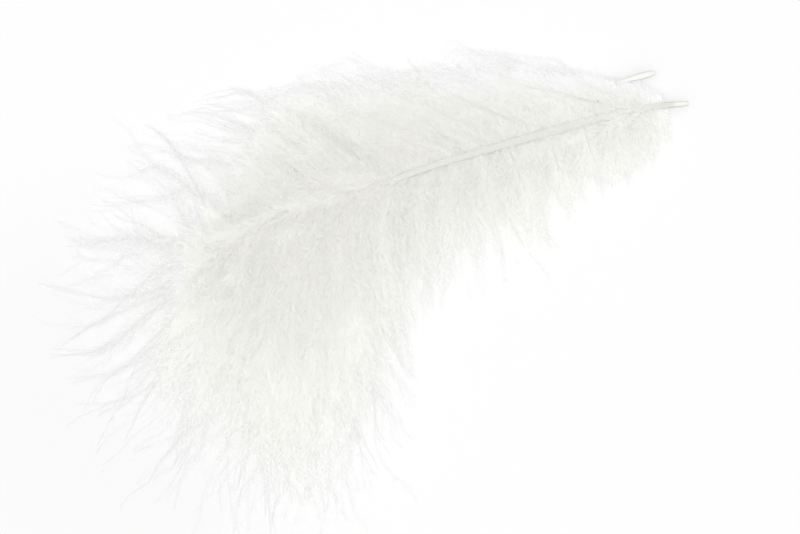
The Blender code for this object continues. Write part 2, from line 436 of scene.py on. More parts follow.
class ShaftSettings(bpy.types.PropertyGroup):
    colour: bpy.props.FloatVectorProperty(
        name="Shaft colour",
        description="Colour of the shaft's keratin",
        subtype="COLOR",
        default=(0.665, 0.67, 0.62),
        min=0.0,
        max=1.0,
    )
    quill_colour: bpy.props.FloatVectorProperty(
        name="Quill colour",
        description="Colour of the bare end of the quill",
        subtype="COLOR",
        default=(0.81, 0.81, 0.755),
        min=0.0,
        max=1.0,
    )
    stray_colour: bpy.props.FloatVectorProperty(
        name="Stray barb colour",
        description="Colour of the bare barb beside the quill",
        subtype="COLOR",
        default=(0.79, 0.79, 0.765),
        min=0.0,
        max=1.0,
    )


class StageSettings(bpy.types.PropertyGroup):
    floor_colour: bpy.props.FloatVectorProperty(
        name="Floor colour",
        description="Colour of the floor",
        subtype="COLOR",
        default=(0.82, 0.82, 0.82),
        min=0.0,
        max=1.0,
    )
    sky: bpy.props.FloatProperty(
        name="Fill light", description="Strength of the even light from all round", default=0.55, min=0.0
    )
    key: bpy.props.FloatProperty(
        name="Key light", description="Power of the soft light overhead", default=17.0, min=0.0, unit="POWER"
    )


# Curves and frames


def smooth_path(points, steps):
    """A Catmull-Rom curve: on each span a cubic in t that passes through both its ends and takes
    its slope from the points on either side."""
    p = np.array(points, float)
    p = np.vstack([2 * p[0] - p[1], p, 2 * p[-1] - p[-2]])
    a, b, c, d = p[:-3, None], p[1:-2, None], p[2:-1, None], p[3:, None]
    t = np.linspace(0, 1, steps, endpoint=False)[None, :, None]
    cubic = -a + 3 * b - 3 * c + d
    square = 2 * a - 5 * b + 4 * c - d
    spans = 0.5 * (2 * b + (c - a) * t + square * t**2 + cubic * t**3)
    return np.vstack([spans.reshape(-1, 3), p[-2]])


SHAFT_CURVE = smooth_path(SHAFT_ROUTE, 24)
SHAFT_ALONG = np.concatenate([[0], np.cumsum(np.linalg.norm(np.diff(SHAFT_CURVE, axis=0), axis=1))])
SHAFT_LENGTH = SHAFT_ALONG[-1]
SHAFT_ALONG = SHAFT_ALONG / SHAFT_LENGTH


def on_shaft(shares):
    """Points on the shaft's centre line at shares of its length."""
    return np.stack([np.interp(shares, SHAFT_ALONG, axis) for axis in SHAFT_CURVE.T], axis=-1)


def shaft_heading(shares, span=0.02):
    """Angle in plan of the direction towards the shaft's tip."""
    way = on_shaft(np.minimum(shares + span, 1.0)) - on_shaft(np.maximum(shares - span, 0.0))
    return np.arctan2(way[..., 1], way[..., 0])


def plan(angle, length):
    """Plan vectors of a length and an angle."""
    return np.stack([length * np.cos(angle), length * np.sin(angle)], axis=-1)


def unit(vectors):
    return vectors / np.maximum(np.linalg.norm(vectors, axis=-1, keepdims=True), 1e-9)


def frames(lines):
    """For lines of points, the unit direction along them, one across it that lies flat, and the
    one at right angles to both."""
    along = unit(np.gradient(lines, axis=-2))
    across = unit(np.cross(along, (0.0, 0.0, 1.0)))
    return along, across, np.cross(across, along)


def smoothstep(low, high, value):
    t = np.clip((value - low) / (high - low), 0, 1)
    return t * t * (3 - 2 * t)


# Meshes


def mesh_piece(name, points, faces, uvs, material):
    """Makes a piece from points in millimetres, faces of one size given as rows of point
    numbers, and a UV for each point."""
    mesh = bpy.data.meshes.new(name)
    points = (np.asarray(points) - BOX_MIDDLE) * MM
    corner_count = faces.size
    mesh.vertices.add(len(points))
    mesh.vertices.foreach_set("co", points.astype(np.float32).ravel())
    mesh.loops.add(corner_count)
    mesh.loops.foreach_set("vertex_index", faces.astype(np.int32).ravel())
    mesh.polygons.add(len(faces))
    mesh.polygons.foreach_set("loop_start", np.arange(0, corner_count, faces.shape[1], dtype=np.int32))
    layer = mesh.uv_layers.new(name=STRAND_MAP)
    layer.uv.foreach_set("vector", uvs[faces.ravel()].astype(np.float32).ravel())
    mesh.polygons.foreach_set("use_smooth", np.ones(len(faces), bool))
    mesh.update(calc_edges=True)
    mesh.validate()
    mesh.materials.append(material)
    piece = bpy.data.objects.new(name, mesh)
    bpy.context.scene.collection.objects.link(piece)
    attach(piece, "root")
    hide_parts("feather")
    return piece


def tube_points(lines, across, up, radii, sides, flatness=1.0):
    """Rings round lines: centre + radius * (cos a * across + flatness * sin a * up)."""
    turn = np.arange(sides) * 2 * math.pi / sides
    c, s = np.cos(turn)[:, None], np.sin(turn)[:, None] * flatness
    return lines[..., None, :] + radii[..., None, None] * (c * across[..., None, :] + s * up[..., None, :])


def tube_triangles(count, rings, sides):
    """Triangles of count tubes whose points run tube by tube and ring by ring, with both ends
    closed by a fan on their first point."""
    first = np.arange(count)[:, None, None] * rings * sides
    ring = np.arange(rings - 1)[None, :, None] * sides
    k = np.arange(sides)[None, None, :]
    j = (k + 1) % sides
    a, b, c, d = first + ring + j, first + ring + k, first + ring + sides + k, first + ring + sides + j
    walls = np.stack([np.stack([a, b, c], -1), np.stack([a, c, d], -1)], -2).reshape(-1, 3)
    k = np.arange(1, sides - 1)[None, :]
    start = np.arange(count)[:, None] * rings * sides
    end = start + (rings - 1) * sides
    near = np.stack([start + 0 * k, start + k, start + k + 1], -1).reshape(-1, 3)
    far = np.stack([end + 0 * k, end + k + 1, end + k], -1).reshape(-1, 3)
    return np.vstack([walls, near, far])


# Down


def outside_by(points, outline):
    """Distance in plan from each point to a closed outline, less than 0 inside it. The distance
    to an edge is that to its nearest point, and a point is inside where a line from it to the
    left crosses an odd number of edges."""
    p = points[:, None, :2]
    a = np.array(outline)[None]
    b = np.roll(a, -1, axis=1)
    edge = b - a
    t = np.clip(((p - a) * edge).sum(-1) / (edge * edge).sum(-1), 0, 1)
    distance = np.linalg.norm(p - a - t[..., None] * edge, axis=-1).min(axis=1)
    straddles = (a[..., 1] > p[..., 1]) != (b[..., 1] > p[..., 1])
    slope = edge[..., 0] / np.where(edge[..., 1] == 0, 1e-9, edge[..., 1])
    crosses = straddles & (p[..., 0] > a[..., 0] + (p[..., 1] - a[..., 1]) * slope)
    return np.where(crosses.sum(axis=1) % 2 == 1, -distance, distance)


def density(lines):
    """How dense the down is at points of barbs: 1 / (1 + exp((d - RIM_SHIFT) / RIM_FADE)), with
    d the distance past DENSE_RIM, times 1 - thinner * exp(-(distance / radius)^2) for each thin
    patch."""
    d = outside_by(lines.reshape(-1, 3), DENSE_RIM).reshape(lines.shape[:2])
    dense = 1 / (1 + np.exp(np.clip((d - RIM_SHIFT) / RIM_FADE, -30, 30)))
    for x, y, radius, thinner in THIN_PATCHES:
        away = np.hypot(lines[..., 0] - x, lines[..., 1] - y) / radius
        dense = dense * (1 - thinner * np.exp(-(away**2)))
    return dense


def flow(points):
    """Plan shifts of points by FLOW_WAVES: the sum of size * sin(2 pi (place / length + phase)),
    place being how far a point lies in the wave's direction, at right angles to that."""
    shift = np.zeros(points.shape)
    for length, turn, phase, size in FLOW_WAVES:
        way = np.array((math.cos(math.radians(turn)), math.sin(math.radians(turn)), 0.0))
        side = np.array((-way[1], way[0], 0.0))
        place = points @ way
        shift += size * np.sin(2 * math.pi * (place / length + phase))[..., None] * side
    return shift


def ended(lines, share):
    """Lines cut at a share of their rings, and given as many rings again by going evenly from
    point to point."""
    rings = lines.shape[1]
    place = np.linspace(0, 1, rings)[None] * np.clip(share, 0, 1)[:, None] * (rings - 1)
    low = np.minimum(place.astype(int), rings - 2)
    part = (place - low)[..., None]
    row = np.arange(len(lines))[:, None]
    return lines[row, low] * (1 - part) + lines[row, low + 1] * part


def group_numbers(rng, count, size):
    """A number for each of a row of barbs that steps up after about size of them."""
    return np.cumsum(rng.random(count) < 1 / size)


def group_middles(values, group):
    """The mean of each group's values, given again for each member."""
    sums = np.zeros((group[-1] + 1,) + values.shape[1:])
    np.add.at(sums, group, values)
    sizes = np.bincount(group, minlength=group[-1] + 1).reshape((-1,) + (1,) * (values.ndim - 1))
    return (sums / np.maximum(sizes, 1))[group]


def barb_lines(rng, roots, tips, leaves, bend_heights, tip_heights, own_turn, long_share, pull=1.0, fork=0.0):
    """Centre lines of barbs, (1 - t)^2 root + 2 t (1 - t) bend + t^2 tip. Neighbours gather into
    tufts by the share pull, and those of a tuft into wisps: past the middle each line moves
    towards its group's mean line. The flow waves and waves of each barb's own grow towards the
    tips. All but long_share of the barbs end near the rim of the dense down. fork is how far
    the tips of a wisp part again."""
    count = len(roots)
    tufts = group_numbers(rng, count, 20)
    wisps = group_numbers(rng, count, 5)
    for_tuft = lambda low, high: rng.uniform(low, high, tufts[-1] + 1)[tufts][:, None, None]
    for_wisp = lambda low, high: rng.uniform(low, high, wisps[-1] + 1)[wisps][:, None, None]
    for_barb = lambda low, high: rng.uniform(low, high, (count, 1, 1))
    start = on_shaft(roots)
    way = tips - start[:, :2]
    length = np.linalg.norm(way, axis=1) * rng.uniform(0.9, 1.08, count)
    angle = np.arctan2(way[:, 1], way[:, 0]) + np.radians(rng.normal(0, own_turn, count))
    loose = 8 + 10 * smoothstep(0.5, 0.8, roots)
    leave = angle + np.radians(leaves + rng.normal(0, loose, count))
    bend_plan = start[:, :2] + plan(leave, length * rng.uniform(0.35, 0.52, count))
    tip_plan = start[:, :2] + plan(angle, length)
    lift = 0.25 * for_wisp(0, 1)[:, 0, 0] + 0.75 * rng.random(count) ** 0.75
    bend_z = bend_heights[0] + (bend_heights[1] - bend_heights[0]) * lift
    tip_z = tip_heights[0] + (tip_heights[1] - tip_heights[0]) * np.clip(lift + rng.normal(0, 0.25, count), 0, 1)
    bend = np.column_stack([bend_plan, bend_z])
    tip = np.column_stack([tip_plan, tip_z])
    reach = np.clip(1.04 - rng.exponential(0.1, count), 0.5, 1.04)
    t = np.linspace(0, 1, BARB_RINGS)[None, :, None] * reach[:, None, None]
    lines = (1 - t) ** 2 * start[:, None] + 2 * t * (1 - t) * bend[:, None] + t**2 * tip[:, None]
    gather = smoothstep(0.55 - 0.2 * fork, 1.05 - 0.3 * fork, t) * (1 - fork * smoothstep(0.75, 1.05, t))
    lines = lines + (group_middles(lines, tufts) - lines) * for_tuft(0.1, 0.6) * gather * pull
    lines = lines + (group_middles(lines, wisps) - lines) * for_wisp(0.1, 0.8) * gather
    size = np.minimum(length / 30, 1)[:, None, None]
    lines = lines + flow(lines) * size * t**1.3
    along, across, up = frames(lines)
    distance = t * length[:, None, None]
    middling = np.sin(2 * math.pi * (distance / for_barb(9, 17) + for_barb(0, 1)))
    quick_place = distance / for_barb(3.5, 8)
    quick = np.sin(2 * math.pi * (quick_place + for_barb(0, 1)))
    rise = np.sin(2 * math.pi * (0.77 * quick_place + for_barb(0, 1)))
    lines = lines + across * for_barb(0.1, 0.9) * size * t * middling
    lines = lines + (across * quick + up * rise) * for_barb(0.05, 0.45) * size * t
    floor = 0.12
    sink = lines[..., 2] - floor - 0.6
    lines[..., 2] = np.where(sink < 0, floor + 0.6 * np.exp(np.minimum(sink, 0) / 0.6), lines[..., 2])
    inside = (density(lines) > 0.5).sum(axis=1) / BARB_RINGS
    ends = inside + (rng.normal(0, 1.2, count) + rng.exponential(2.0, count)) / length
    return ended(lines, np.where(rng.random(count) < long_share, 1.0, ends))


def placed_lines(rng, strands, bare):
    """Centre lines of placed strands. In plan each is a Catmull-Rom curve through its points,
    and its barbs part from it by (number - 1/2) * spread * t^2 and sway by a sine along it. The
    height is that of the shaft * (1 - t) + arch * 4 t (1 - t), or a bare barb's is
    root + (arch - root) * sin(pi * t^2.2)."""
    parts = []
    t = np.linspace(0, 1, BARB_RINGS)
    for root, count, spread, arch, points in strands:
        start = on_shaft(root)
        curve = smooth_path([(start[0], start[1], 0.0), *((x, y, 0.0) for x, y in points)], 12)
        place = np.concatenate([[0], np.cumsum(np.linalg.norm(np.diff(curve, axis=0), axis=1))])
        middle = np.stack([np.interp(t * place[-1], place, axis) for axis in curve.T], axis=-1)
        side = frames(middle)[1]
        number = (np.arange(count) + rng.uniform(0.1, 0.9, count)) / count - 0.5
        sway = rng.uniform(0.1, 0.35, count)[:, None] * np.sin(
            2 * math.pi * (t[None] * place[-1] / rng.uniform(7, 13, count)[:, None] + rng.random(count)[:, None])
        )
        shift = (number[:, None] * spread * t[None] ** 2 + sway * t[None]) * (0.5 if bare else 1.0)
        lines = middle[None] + side[None] * shift[..., None]
        lines = ended(lines, rng.uniform(0.8, 1.0, count))
        if bare:
            height = start[2] + (arch - start[2]) * np.sin(math.pi * t[None] ** 2.2) + 0 * shift
        else:
            height = start[2] * (1 - t[None]) + arch * rng.uniform(0.5, 1.4, count)[:, None] * 4 * (t - t**2)
        lines[..., 2] = np.maximum(height, 0.15)
        parts.append(lines)
    return np.concatenate(parts)


def line_lengths(lines):
    return np.linalg.norm(np.diff(lines, axis=1), axis=-1).sum(axis=1)


def barbules(rng, lines, dense, settings, sparse, outer_size):
    """Slivers along barbs. Each springs from a barb at an angle, in any direction round it but
    mostly sideways, and bends towards the barb's tip. It is two triangles that meet at its bend,
    where it is widest and lies nearly flat, and narrows to a point at both ends. Outside the
    dense down there are fewer of them, by the share sparse, and outer_size times as long. They
    thin out towards a barb's tip."""
    total = line_lengths(lines)
    wanted = np.round(total * settings.barbules_per_mm).astype(int)
    barb = np.repeat(np.arange(len(lines)), wanted)
    share = rng.random(len(barb))
    place = share * (lines.shape[1] - 1)
    low = np.minimum(place.astype(int), lines.shape[1] - 2)
    part = place - low
    here = dense[barb, low] * (1 - part) + dense[barb, low + 1] * part
    thin_out = 1 - 0.75 * smoothstep(0.55, 1.0, share)
    keep = rng.random(len(barb)) < (sparse + (1 - sparse) * here) * thin_out
    barb, share, low, part, here = barb[keep], share[keep], low[keep], part[keep][:, None], here[keep]
    along, across, up = frames(lines)
    root = lines[barb, low] * (1 - part) + lines[barb, low + 1] * part
    along, across, up = along[barb, low], across[barb, low], up[barb, low]
    side = np.where(rng.random(len(barb)) < 0.5, 0.0, math.pi)
    roll = (side + rng.normal(0, 0.6, len(barb)))[:, None]
    lean = np.radians(rng.normal(60, 18, len(barb)) - 22 * share)[:, None]
    away = np.cos(roll) * across + np.sin(roll) * up
    first = unit(np.cos(lean) * along + np.sin(lean) * away)
    second = unit(first + 0.45 * along + rng.normal(0, 0.4, first.shape) - (0, 0, 0.1))
    longest = settings.barbule_length / MM
    size = (0.75 + 0.25 * smoothstep(0.0, 0.12, share)) * (1 - 0.3 * smoothstep(0.5, 1.0, share))
    size = size * (outer_size + (1 - outer_size) * here)
    length = (longest * size * rng.uniform(0.45, 1.0, len(barb)))[:, None]
    bend = root + 0.5 * length * first
    tip = bend + 0.5 * length * second
    flat = unit(np.cross(first, (0.0, 0.0, 1.0) + rng.normal(0, 0.25, first.shape)))
    half = settings.barbule_width / MM / 2
    points = np.stack([root, bend + flat * half, tip, bend - flat * half], axis=1)
    points[..., 2] = np.maximum(points[..., 2], 0.04)
    return points, share, here, barb


def down_piece(name, rng, lines, settings, material, sparse=0.24, outer_size=0.6, bare=False):
    """Joins barbs, as three-sided tubes that taper to their tips, and their barbules to a piece.
    U of its map is 0.7 * (1 - density) + 0.3 * (1 - far * (1 - share along the barb)), where far
    grows from 0.35 at the quill to 1."""
    along, across, up = frames(lines)
    dense = density(lines) * (0.0 if bare else 1.0)
    t = np.linspace(0, 1, BARB_RINGS)
    radius = settings.barb_width / MM / 2 * (0.25 + 0.75 * (1 - t) ** 0.8)
    size = np.clip(line_lengths(lines) / 30, 0.55, 1.1)
    tubes = tube_points(lines, across, up, size[:, None] * radius[None, :], BARB_SIDES)
    triangles = tube_triangles(len(lines), BARB_RINGS, BARB_SIDES)
    number = (np.arange(len(lines)) + 0.5) / len(lines)
    root_share = np.interp(-lines[:, 0, 0], -SHAFT_CURVE[:, 0], SHAFT_ALONG)
    far = 0.35 + 0.65 * smoothstep(0.1, 0.5, root_share)
    barb_uv = np.empty(tubes.shape[:-1] + (2,))
    barb_uv[..., 0] = (0.3 * (1 - far[:, None] * (1 - t[None, :])) + 0.7 * (1 - dense))[..., None]
    barb_uv[..., 1] = number[:, None, None] / 2
    slivers, share, here, barb = barbules(rng, lines, dense, settings, sparse, outer_size)
    sliver_uv = np.empty(slivers.shape[:-1] + (2,))
    sliver_uv[..., 0] = (0.3 * (1 - far[barb] * (1 - share)) + 0.7 * (1 - here))[:, None]
    sliver_uv[..., 1] = 0.5 + number[barb][:, None] / 2
    first = tubes.size // 3 + 4 * np.arange(len(slivers))[:, None]
    sliver_triangles = np.stack([first + (0, 1, 3), first + (1, 2, 3)], axis=1).reshape(-1, 3)
    points = np.vstack([tubes.reshape(-1, 3), slivers.reshape(-1, 3)])
    uvs = np.vstack([barb_uv.reshape(-1, 2), sliver_uv.reshape(-1, 2)])
    return mesh_piece(name, points, np.vstack([triangles, sliver_triangles]), uvs, material)


def roots_and_tips(rng, table, count):
    """Roots, tips and leaving angles of barbs whose tips stand evenly along the table's outline."""
    shares, x, y, leaves = np.array(table).T
    outline = np.concatenate([[0], np.cumsum(np.hypot(np.diff(x), np.diff(y)))])
    place = (np.arange(count) + rng.uniform(0, 1, count)) / count * outline[-1]
    tips = np.column_stack([np.interp(place, outline, x), np.interp(place, outline, y)])
    return np.interp(place, outline, shares), tips, np.interp(place, outline, leaves)


def vane_lines(rng, table, count, long_share):
    """Barbs of one side of the shaft."""
    roots, tips, leaves = roots_and_tips(rng, table, count)
    size = np.clip(np.linalg.norm(tips - on_shaft(roots)[:, :2], axis=1) / 30, 0.3, 1.0)
    bend_heights = (0.2 * size, 8.0 * size)
    tip_heights = (0.15 * size, 4.6 * size)
    long_share = np.interp(roots, *np.array(long_share).T)
    return barb_lines(rng, roots, tips, leaves, bend_heights, tip_heights, 6.0, long_share)


# Materials


def new_socket(group, name, kind, way, default=None):
    socket = group.interface.new_socket(name=name, in_out=way, socket_type=kind)
    if default is not None:
        socket.default_value = default
    return socket


def grain_group():
    """A group that varies a colour in streaks. Along and Across are coordinates, Streak is the
    count of streaks a unit along, Fineness is the count across and Amount is their strength."""
    group = bpy.data.node_groups.new("Streaks", "ShaderNodeTree")
    for name, default in (("Along", 0.0), ("Across", 0.0), ("Streak", 6.0), ("Fineness", 60.0), ("Amount", 0.1)):
        new_socket(group, name, "NodeSocketFloat", "INPUT", default)
    new_socket(group, "Colour", "NodeSocketColor", "INPUT", (0.9, 0.9, 0.9, 1))
    new_socket(group, "Colour", "NodeSocketColor", "OUTPUT")
    new_socket(group, "Mask", "NodeSocketFloat", "OUTPUT")
    nodes, links = group.nodes, group.links
    given = nodes.new("NodeGroupInput")
    out = nodes.new("NodeGroupOutput")
    along = nodes.new("ShaderNodeMath")
    along.operation = "MULTIPLY"
    across = nodes.new("ShaderNodeMath")
    across.operation = "MULTIPLY"
    place = nodes.new("ShaderNodeCombineXYZ")
    noise = nodes.new("ShaderNodeTexNoise")
    noise.inputs["Scale"].default_value = 1.0
    noise.inputs["Detail"].default_value = 3.0
    shade = nodes.new("ShaderNodeMapRange")
    shade.inputs["From Min"].default_value = 0.3
    shade.inputs["From Max"].default_value = 0.7
    weight = nodes.new("ShaderNodeMath")
    weight.operation = "MULTIPLY"
    darker = nodes.new("ShaderNodeMix")
    darker.data_type = "RGBA"
    darker.blend_type = "MULTIPLY"
    darker.inputs["B"].default_value = (0.72, 0.7, 0.62, 1)
    links.new(given.outputs["Along"], along.inputs[0])
    links.new(given.outputs["Streak"], along.inputs[1])
    links.new(given.outputs["Across"], across.inputs[0])
    links.new(given.outputs["Fineness"], across.inputs[1])
    links.new(along.outputs[0], place.inputs["X"])
    links.new(across.outputs[0], place.inputs["Y"])
    links.new(place.outputs[0], noise.inputs["Vector"])
    links.new(noise.outputs["Fac"], shade.inputs["Value"])
    links.new(shade.outputs["Result"], weight.inputs[0])
    links.new(given.outputs["Amount"], weight.inputs[1])
    links.new(weight.outputs[0], darker.inputs["Factor"])
    links.new(given.outputs["Colour"], darker.inputs["A"])
    links.new(darker.outputs["Result"], out.inputs["Colour"])
    links.new(shade.outputs["Result"], out.inputs["Mask"])
    return group


def streaks():
    return bpy.data.node_groups.get("Streaks") or grain_group()


def raised_normal_group():
    """A group that leans a normal towards straight up: (1 - Amount) * Normal + Amount * up, made
    one unit long."""
    group = bpy.data.node_groups.new("Raised normal", "ShaderNodeTree")
    new_socket(group, "Normal", "NodeSocketVector", "INPUT")
    new_socket(group, "Amount", "NodeSocketFloat", "INPUT", 0.5)
    new_socket(group, "Normal", "NodeSocketVector", "OUTPUT")
    nodes, links = group.nodes, group.links
    given = nodes.new("NodeGroupInput")
    out = nodes.new("NodeGroupOutput")
    mix = nodes.new("ShaderNodeMix")
    mix.data_type = "VECTOR"
    mix.inputs["B"].default_value = (0.0, 0.0, 1.0)
    one_long = nodes.new("ShaderNodeVectorMath")
    one_long.operation = "NORMALIZE"
    links.new(given.outputs["Amount"], mix.inputs["Factor"])
    links.new(given.outputs["Normal"], mix.inputs["A"])
    links.new(mix.outputs["Result"], one_long.inputs[0])
    links.new(one_long.outputs["Vector"], out.inputs["Normal"])
    return group


def raise_normal(tree, shader, normal, amount):
    """Links a normal to a shader through the group that leans it upwards."""
    node = tree.nodes.new("ShaderNodeGroup")
    node.node_tree = bpy.data.node_groups.get("Raised normal") or raised_normal_group()
    node.inputs["Amount"].default_value = amount
    tree.links.new(normal, node.inputs["Normal"])
    tree.links.new(node.outputs["Normal"], shader.inputs["Normal"])


def material_with_map(name):
    """A new material with its Principled shader, and U and V of the strand map."""
    material = bpy.data.materials.new(name)
    material.use_nodes = True
    tree = material.node_tree
    shader = tree.nodes["Principled BSDF"]
    uv = tree.nodes.new("ShaderNodeUVMap")
    uv.uv_map = STRAND_MAP
    split = tree.nodes.new("ShaderNodeSeparateXYZ")
    tree.links.new(uv.outputs["UV"], split.inputs[0])
    return material, tree, shader, split


def colour_mix(tree, low, high, factor):
    """A mix of two colours or outputs by a factor output."""
    mix = tree.nodes.new("ShaderNodeMix")
    mix.data_type = "RGBA"
    for socket, value in (("A", low), ("B", high)):
        if isinstance(value, bpy.types.NodeSocket):
            tree.links.new(value, mix.inputs[socket])
        else:
            mix.inputs[socket].default_value = (*value, 1)
    tree.links.new(factor, mix.inputs["Factor"])
    return mix.outputs["Result"]


def step_range(tree, value, low, high):
    node = tree.nodes.new("ShaderNodeMapRange")
    node.interpolation_type = "SMOOTHSTEP"
    node.inputs["From Min"].default_value = low
    node.inputs["From Max"].default_value = high
    tree.links.new(value, node.inputs["Value"])
    return node.outputs["Result"]


def down_material(name, settings, rim_colour):
    """Matte white strands, darker and warmer where they are thick near the shaft, which is painted shade. Towards the
    rim of the dense down they take on a paler tint of painted light, cool or warm by the rim colour given, and past
    it they turn grey, the barbs more so."""
    material, tree, shader, split = material_with_map(name)
    along, which = split.outputs["X"], split.outputs["Y"]
    kind = step_range(tree, which, 0.499, 0.501)
    # Painted shade: the inner colour where the down is dense near the shaft.
    inner = colour_mix(tree, settings.inner_painted_shade_colour, settings.colour, step_range(tree, along, 0.02, 0.28))
    # Painted light: the rim colour towards the rim of the dense down.
    barbule = colour_mix(tree, inner, rim_colour, step_range(tree, along, 0.2, 0.45))
    base = colour_mix(tree, settings.barb_colour, barbule, kind)
    outer = colour_mix(tree, settings.outer_barb_colour, settings.outer_colour, kind)
    tipped = colour_mix(tree, base, outer, step_range(tree, along, 0.72, 1.0))
    grain = tree.nodes.new("ShaderNodeGroup")
    grain.node_tree = streaks()
    grain.inputs["Streak"].default_value = 5.0
    grain.inputs["Fineness"].default_value = 90.0
    grain.inputs["Amount"].default_value = 0.02
    tree.links.new(along, grain.inputs["Along"])
    tree.links.new(which, grain.inputs["Across"])
    tree.links.new(tipped, grain.inputs["Colour"])
    tree.links.new(grain.outputs["Colour"], shader.inputs["Base Color"])
    shader.inputs["Roughness"].default_value = 0.8
    shader.inputs["Specular IOR Level"].default_value = 0.12
    shader.inputs["Sheen Weight"].default_value = 0.04
    shader.inputs["Sheen Roughness"].default_value = 0.5
    return material


def shaft_material(name, colour, quill_colour):
    """Cream keratin with fine streaks along it, paler at the bare quill."""
    material, tree, shader, split = material_with_map(name)
    along, around = split.outputs["X"], split.outputs["Y"]
    bare = step_range(tree, along, 0.036, 0.02)
    base = colour_mix(tree, colour, quill_colour, bare)
    grain = tree.nodes.new("ShaderNodeGroup")
    grain.node_tree = streaks()
    grain.inputs["Streak"].default_value = 9.0
    grain.inputs["Fineness"].default_value = 14.0
    grain.inputs["Amount"].default_value = 0.16
    tree.links.new(along, grain.inputs["Along"])
    tree.links.new(around, grain.inputs["Across"])
    tree.links.new(base, grain.inputs["Colour"])
    tree.links.new(grain.outputs["Colour"], shader.inputs["Base Color"])
    rough = tree.nodes.new("ShaderNodeMapRange")
    rough.inputs["To Min"].default_value = 0.5
    rough.inputs["To Max"].default_value = 0.62
    tree.links.new(grain.outputs["Mask"], rough.inputs["Value"])
    tree.links.new(rough.outputs["Result"], shader.inputs["Roughness"])
    shader.inputs["Specular IOR Level"].default_value = 0.2
    bump = tree.nodes.new("ShaderNodeBump")
    bump.inputs["Strength"].default_value = 0.25
    bump.inputs["Distance"].default_value = 0.00004
    tree.links.new(grain.outputs["Mask"], bump.inputs["Height"])
    raise_normal(tree, shader, bump.outputs["Normal"], 0.75)
    return material


def mark_material(name, low, high):
    """A matte colour mottled between two."""
    material = bpy.data.materials.new(name)
    material.use_nodes = True
    tree = material.node_tree
    shader = tree.nodes["Principled BSDF"]
    place = tree.nodes.new("ShaderNodeTexCoord")
    noise = tree.nodes.new("ShaderNodeTexNoise")
    noise.inputs["Scale"].default_value = 9000.0
    tree.links.new(place.outputs["Object"], noise.inputs["Vector"])
    colour = colour_mix(tree, low, high, noise.outputs["Fac"])
    tree.links.new(colour, shader.inputs["Base Color"])
    shader.inputs["Roughness"].default_value = 0.85
    return material


def floor_material(settings):
    """A matte pale colour with a painted shadow: a little greyer round PAINTED_FLOOR_SHADOW, fading out with the
    distance from it."""
    material = bpy.data.materials.new("pale floor")
    material.use_nodes = True
    tree = material.node_tree
    shader = tree.nodes["Principled BSDF"]
    place = tree.nodes.new("ShaderNodeTexCoord")
    noise = tree.nodes.new("ShaderNodeTexNoise")
    noise.inputs["Scale"].default_value = 3.0
    tree.links.new(place.outputs["Object"], noise.inputs["Vector"])
    paler = tuple(min(1.0, value * 1.004) for value in settings.floor_colour)
    colour = colour_mix(tree, tuple(settings.floor_colour), paler, noise.outputs["Fac"])
    away = tree.nodes.new("ShaderNodeVectorMath")
    away.operation = "DISTANCE"
    x, y, near, far = PAINTED_FLOOR_SHADOW
    away.inputs[1].default_value = ((x - BOX_MIDDLE[0]) * MM, (y - BOX_MIDDLE[1]) * MM, 0.0)
    tree.links.new(place.outputs["Object"], away.inputs[0])
    shade = step_range(tree, away.outputs["Value"], near * MM, far * MM)
    # Painted shadow: the floor colour is made a little greyer near the middle of the patch.
    painted_shadow_colour = tuple(value * 0.965 for value in settings.floor_colour)
    colour = colour_mix(tree, painted_shadow_colour, colour, shade)
    tree.links.new(colour, shader.inputs["Base Color"])
    shader.inputs["Roughness"].default_value = 0.9
    shader.inputs["Specular IOR Level"].default_value = 0.1
    return material


# Operators


class FEATHER_OT_shaft(bpy.types.Operator):
    """Builds the shaft with its bare quill end and the stray bare barb beside it"""

    bl_idname = "feather.shaft"
    bl_label = "Shaft"

    def execute(self, context):
        settings = context.scene.feather_shaft
        shares = np.linspace(0, 1, SHAFT_RINGS)
        lines = on_shaft(shares)[None]
        along, across, up = frames(lines)
        radii = np.interp(shares, *np.array(SHAFT_RADIUS).T)[None]
        points = tube_points(lines, across, up, radii, SHAFT_SIDES, SHAFT_FLATNESS)
        uvs = np.empty(points.shape[:-1] + (2,))
        uvs[..., 0] = shares[None, :, None]
        turn = np.arange(SHAFT_SIDES) / SHAFT_SIDES
        uvs[..., 1] = np.abs(2 * turn - 1)[None, None, :]
        triangles = tube_triangles(1, SHAFT_RINGS, SHAFT_SIDES)
        material = shaft_material("feather shaft", settings.colour, settings.quill_colour)
        mesh_piece("shaft", points.reshape(-1, 3), triangles, uvs.reshape(-1, 2), material)
        lines = smooth_path((on_shaft(STRAY_ROOT), STRAY_BEND, STRAY_END), STRAY_STEPS)[None]
        shares = np.linspace(0, 1, lines.shape[1])
        along, across, up = frames(lines)
        radii = np.interp(shares, *np.array(STRAY_RADIUS).T)[None]
        points = tube_points(lines, across, up, radii, STRAY_SIDES, STRAY_FLATNESS)
        uvs = np.empty(points.shape[:-1] + (2,))
        uvs[..., 0] = 0.04 * (1 - shares[None, :, None])
        uvs[..., 1] = np.abs(2 * np.arange(STRAY_SIDES) / STRAY_SIDES - 1)[None, None, :]
        triangles = tube_triangles(1, lines.shape[1], STRAY_SIDES)
        material = shaft_material("stray barb", settings.stray_colour, settings.stray_colour)
        mesh_piece("stray_barb", points.reshape(-1, 3), triangles, uvs.reshape(-1, 2), material)
        return {"FINISHED"}


